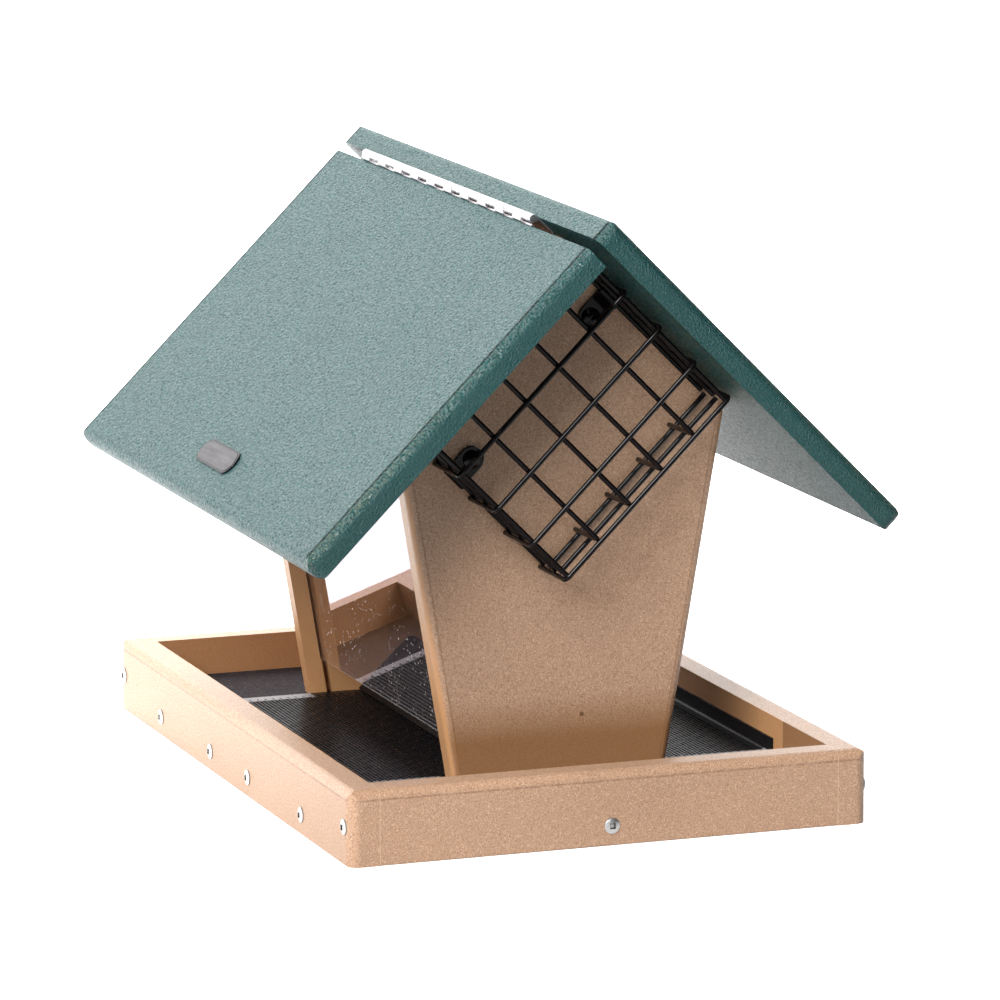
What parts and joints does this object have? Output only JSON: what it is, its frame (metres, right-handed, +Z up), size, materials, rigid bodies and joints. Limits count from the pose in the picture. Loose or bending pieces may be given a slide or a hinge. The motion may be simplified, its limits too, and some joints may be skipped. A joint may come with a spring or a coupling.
{
  "type": "suet bird feeder",
  "caption": "Hopper bird feeder with a hinged roof panel, clear side windows, a shallow seed tray and a wire suet basket on each gable.",
  "frame": {"origin": "middle of the tray's underside, on the surface that the feeder stands on", "axes": "+X across the gables, towards the fixed roof panel; +Y along the ridge, from the front gable to the back one; +Z up. The lid is the roof panel on the -X side, drawn closed."},
  "size_m": [0.3086, 0.3816, 0.309],
  "materials": {
    "tan_board": "sandy recycled plastic lumber, fine speckle",
    "dark_board": "dark grey recycled plastic board",
    "green_board": "grey-green recycled plastic lumber, orange-peel face",
    "black_sheet": "black powder coat on perforated sheet",
    "clear_sheet": "clear acrylic sheet",
    "bright_metal": "bright satin",
    "black_wire": "glossy black coating",
    "board_screw": "pale zinc coating, satin"
  },
  "bodies": {
    "body": {"tray_side_left": "tan_board", "tray_side_right": "tan_board", "tray_end_front": "tan_board", "tray_end_back": "tan_board", "floor_board_front": "dark_board", "floor_board_back": "dark_board", "pan_rail_front": "tan_board", "pan_rail_back": "tan_board", "seed_pan": "black_sheet", "gable_front": "tan_board", "gable_back": "tan_board", "window_left": "clear_sheet", "window_right": "clear_sheet", "roof_fixed": "green_board", "hinge_leaf_fixed": "bright_metal", "hinge_pin": "bright_metal", "basket_front": "black_wire", "basket_back": "black_wire", "basket_clips_front": "black_wire", "basket_clips_back": "black_wire", "clip_screws_front": "black_wire", "clip_screws_back": "black_wire", "tray_screws_left": "board_screw", "tray_screws_right": "board_screw", "tray_screws_front": "board_screw", "tray_screws_back": "board_screw", "gable_screws": "board_screw", "roof_screws": "board_screw", "hinge_screws_fixed": "bright_metal"},
    "lid": {"roof_lid": "green_board", "hinge_leaf_lid": "bright_metal", "hinge_screws_lid": "bright_metal"}
  },
  "joints": [
    {"name": "lid_hinge", "type": "hinge", "parent": "body", "child": "lid", "pos_m": [-0.01149, 0, 0.30061], "axis": [0, 1, 0], "range_deg": [0, 185]}
  ]
}
